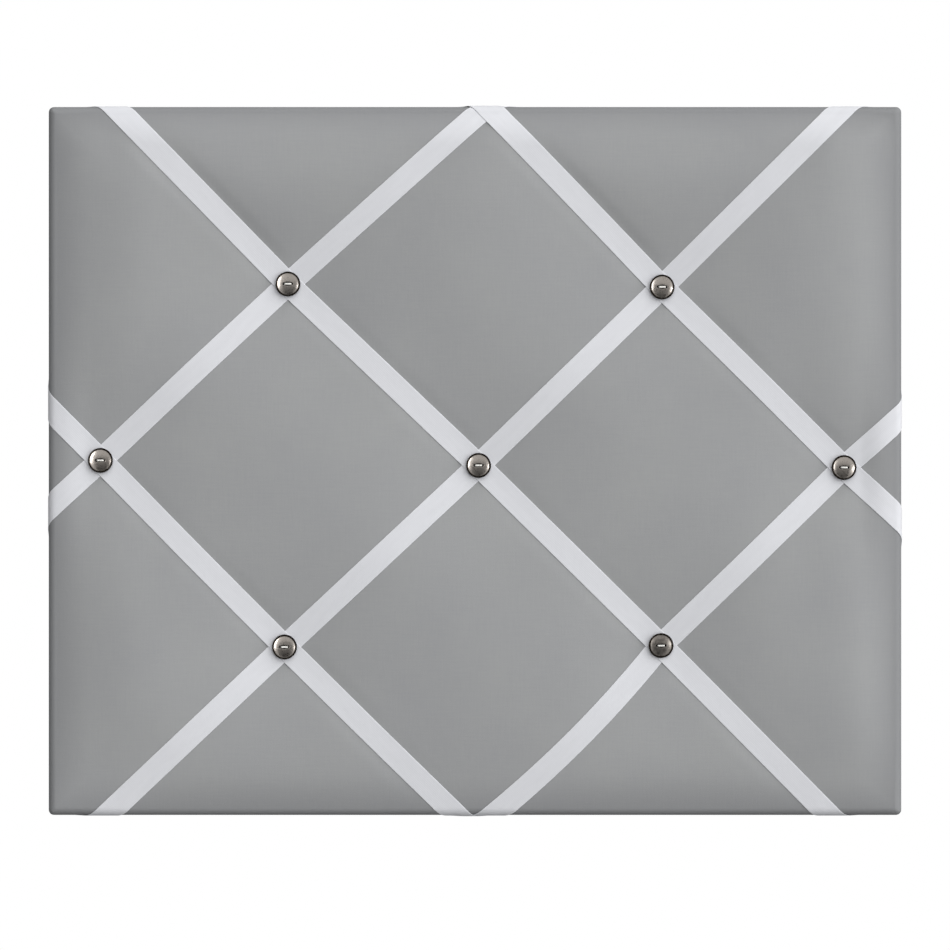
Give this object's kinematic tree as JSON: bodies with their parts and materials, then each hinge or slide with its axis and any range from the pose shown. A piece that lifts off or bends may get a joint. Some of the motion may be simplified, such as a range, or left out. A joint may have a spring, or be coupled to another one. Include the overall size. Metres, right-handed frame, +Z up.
{
  "type": "memo board",
  "caption": "Padded fabric-covered memo board with criss-cross ribbons held by metal buttons, and swinging ring hangers behind.",
  "frame": {"origin": "middle of the back sheet's rear face, which lies against the wall", "axes": "+X along the width to the right as seen from the front, +Y out of the rear face to the wall, +Z up"},
  "size_m": [0.4816, 0.0293, 0.4032],
  "materials": {
    "cover_fabric": "plain-weave grey cotton, matt with a faint sheen",
    "ribbon": "woven pale grey-white ribbon with selvedges",
    "wadding": "polyester wadding, hidden",
    "board": "medium-density fibreboard, hidden",
    "back_card": "dark pressed backing card, matt",
    "button_metal": "antique nickel, brushed face and dark rim",
    "thread": "pale twisted thread",
    "steel": "bright zinc plate"
  },
  "bodies": {
    "board": {"fabric_cover": "cover_fabric", "wadding_pad": "wadding", "backing_board": "board", "back_sheet": "back_card", "ribbon_fall_left": "ribbon", "ribbon_fall_centre": "ribbon", "ribbon_fall_right": "ribbon", "ribbon_rise_left": "ribbon", "ribbon_rise_centre": "ribbon", "ribbon_rise_right": "ribbon", "button_top_left": "button_metal", "tie_top_left": "thread", "button_top_right": "button_metal", "tie_top_right": "thread", "button_middle_left": "button_metal", "tie_middle_left": "thread", "button_centre": "button_metal", "tie_centre": "thread", "button_middle_right": "button_metal", "tie_middle_right": "thread", "button_bottom_left": "button_metal", "tie_bottom_left": "thread", "button_bottom_right": "button_metal", "tie_bottom_right": "thread", "staple_fall_left_left": "steel", "staple_fall_left_bottom": "steel", "staple_fall_centre_top": "steel", "staple_fall_centre_bottom": "steel", "staple_fall_right_top": "steel", "staple_fall_right_right": "steel", "staple_rise_left_left": "steel", "staple_rise_left_top": "steel", "staple_rise_centre_bottom": "steel", "staple_rise_centre_top": "steel", "staple_rise_right_bottom": "steel", "staple_rise_right_right": "steel", "hanger_strap_top": "steel", "hanger_screw_top": "steel", "hanger_strap_side": "steel", "hanger_screw_side": "steel"},
    "top_ring": {"hanger_ring_top": "steel"},
    "side_ring": {"hanger_ring_side": "steel"}
  },
  "joints": [
    {"name": "top_ring_swing", "type": "hinge", "parent": "board", "child": "top_ring", "pos_m": [0, 0.0021, 0.166], "axis": [-1, 0, 0], "range_deg": [0, 160]},
    {"name": "side_ring_swing", "type": "hinge", "parent": "board", "child": "side_ring", "pos_m": [0.206, 0.0021, 0], "axis": [0, 0, 1], "range_deg": [0, 160]}
  ]
}
